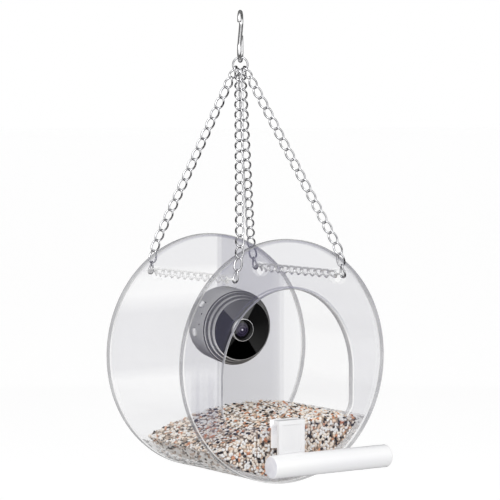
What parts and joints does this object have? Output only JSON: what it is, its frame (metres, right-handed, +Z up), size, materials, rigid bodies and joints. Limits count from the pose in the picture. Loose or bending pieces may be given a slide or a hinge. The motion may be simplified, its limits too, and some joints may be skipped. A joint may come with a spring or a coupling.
{
  "type": "hanging bird feeder with camera",
  "caption": "Round hanging bird feeder of clear acrylic with a seed trough, feeding opening, clip-on perch, chain hanger and a small round camera on a magnetic ball stand inside.",
  "frame": {"origin": "underside of the hook's top bend, where the feeder hangs on a twig or nail", "axes": "+Z up, -Y out through the feeding opening, +X to the right as seen from the front"},
  "size_m": [0.15, 0.1132, 0.2913],
  "materials": {
    "hook_chrome": "polished",
    "chain_steel": "polished",
    "clear_acrylic": "gloss",
    "milky_acrylic": "gloss",
    "seeds": "matte",
    "camera_shell": "satin",
    "bezel_metal": "polished",
    "black_glass": "gloss",
    "bright_metal": "polished",
    "lens_glass": "gloss",
    "black_plastic": "matte",
    "white_plastic": "satin",
    "board_green": "satin",
    "sensor_black": "gloss",
    "battery_foil": "satin",
    "grey_foam": "matte"
  },
  "bodies": {
    "hook": {"hanger_hook": "hook_chrome"},
    "ring": {"gathering_ring": "chain_steel"},
    "feeder": {"chain_front_left": "chain_steel", "chain_back_left": "chain_steel", "chain_front_right": "chain_steel", "chain_back_right": "chain_steel", "chain_run_left": "chain_steel", "chain_run_right": "chain_steel", "front_plate": "clear_acrylic", "back_plate": "clear_acrylic", "side_wall": "clear_acrylic", "seed_fill": "seeds", "camera_mount_pad": "grey_foam", "camera_mount_steel_disc": "bright_metal"},
    "perch": {"perch_clip": "milky_acrylic", "perch_rod": "milky_acrylic"},
    "camera_stand": {"camera_magnet_stand": "bright_metal"},
    "camera_cup": {"camera_socket_cup": "bright_metal"},
    "camera": {"camera_housing": "camera_shell", "camera_bezel": "bezel_metal", "camera_face_glass": "black_glass", "camera_lens_ring": "bright_metal", "camera_lens": "lens_glass", "camera_lens_barrel": "black_plastic", "camera_image_sensor": "sensor_black", "camera_circuit_board": "board_green", "camera_battery": "battery_foil"},
    "power_switch": {"camera_power_switch": "white_plastic"},
    "mode_button": {"camera_mode_button": "white_plastic"}
  },
  "joints": [
    {"name": "swing_on_hook", "type": "hinge", "parent": "hook", "child": "ring", "pos_m": [0, 0, -0.0291], "axis": [0.6428, 0.766, 0], "range_deg": [-45, 45]},
    {"name": "swing_on_ring", "type": "hinge", "parent": "ring", "child": "feeder", "pos_m": [0, 0, -0.03543], "axis": [0.766, -0.6428, 0], "range_deg": [-30, 30]},
    {"name": "perch_lift", "type": "slide", "parent": "feeder", "child": "perch", "axis": [0, 0, 1], "range_m": [0, 0.02]},
    {"name": "camera_pull_off", "type": "slide", "parent": "feeder", "child": "camera_stand", "axis": [0, -1, 0], "range_m": [0, 0.03]},
    {"name": "camera_tilt", "type": "hinge", "parent": "camera_stand", "child": "camera_cup", "pos_m": [0, 0.0236, -0.1946], "axis": [0.993, -0.1184, 0], "range_deg": [-24, 15]},
    {"name": "camera_pan", "type": "hinge", "parent": "camera_cup", "child": "camera", "pos_m": [0, 0.0236, -0.1946], "axis": [-0.0097, -0.0814, 0.9966], "range_deg": [-13, 26]},
    {"name": "power_switch_slide", "type": "slide", "parent": "camera", "child": "power_switch", "axis": [-0.118, -0.9896, -0.0819], "range_m": [0, 0.002]},
    {"name": "mode_button_press", "type": "slide", "parent": "camera", "child": "mode_button", "axis": [0.9792, -0.1297, 0.1559], "range_m": [0, 0.0008], "stiffness_N_per_m": 300}
  ]
}
